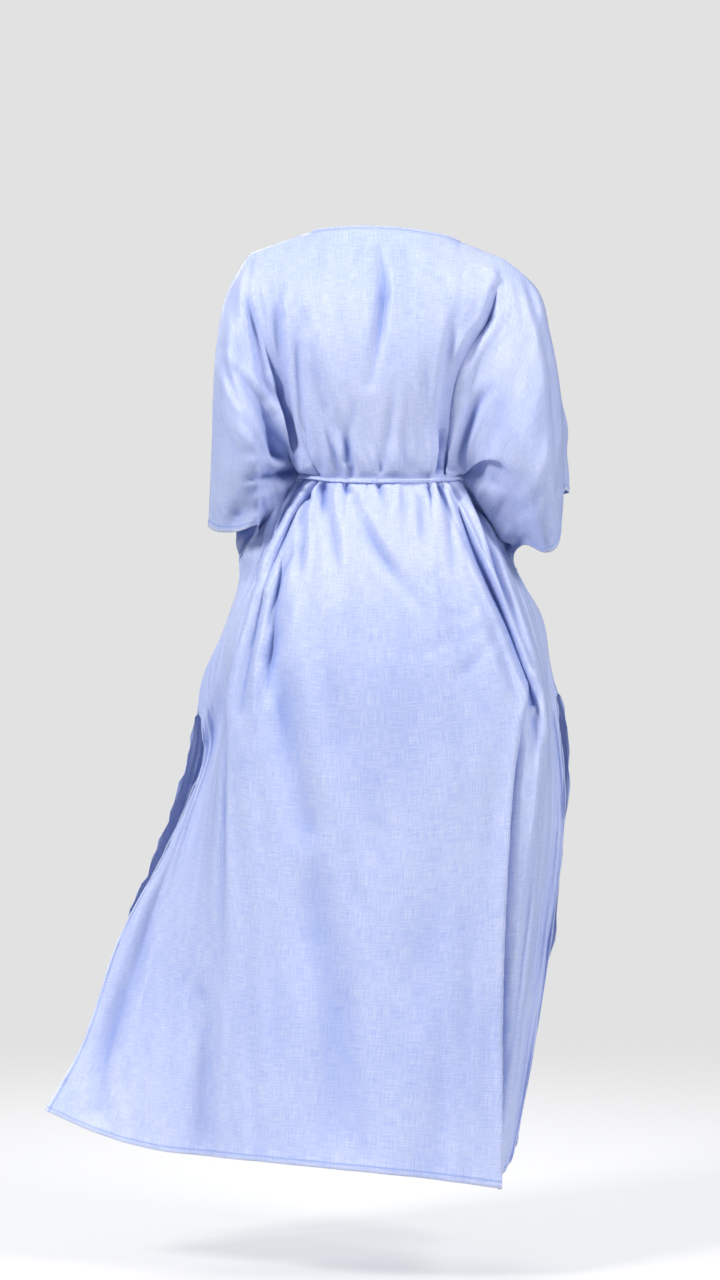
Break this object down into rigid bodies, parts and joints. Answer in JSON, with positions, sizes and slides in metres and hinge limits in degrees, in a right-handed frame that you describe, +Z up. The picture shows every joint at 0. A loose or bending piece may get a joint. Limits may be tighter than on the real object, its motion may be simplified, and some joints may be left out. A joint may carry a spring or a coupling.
{
  "type": "kaftan",
  "caption": "Long waisted kaftan of light blue chambray with wide cut-on sleeves, boat neck, drawn waist tie and open side slits, in its worn walking shape.",
  "frame": {"origin": "middle of the neck opening, at the height of the shoulders", "axes": "+X towards the wearer's left, -Y towards the garment's front, +Z up"},
  "size_m": [0.7369, 0.3832, 1.325],
  "materials": {
    "back_cloth": "light blue cotton chambray, soft sheen",
    "front_cloth": "light blue cotton chambray, soft sheen",
    "binding_cloth": "self bias binding",
    "tie_cloth": "self rouleau",
    "knot_cloth": "self rouleau"
  },
  "bodies": {
    "root": {"back_panel": "back_cloth", "front_panel": "front_cloth", "neck_binding": "binding_cloth", "waist_tie": "tie_cloth", "tie_knot": "knot_cloth"}
  },
  "joints": []
}
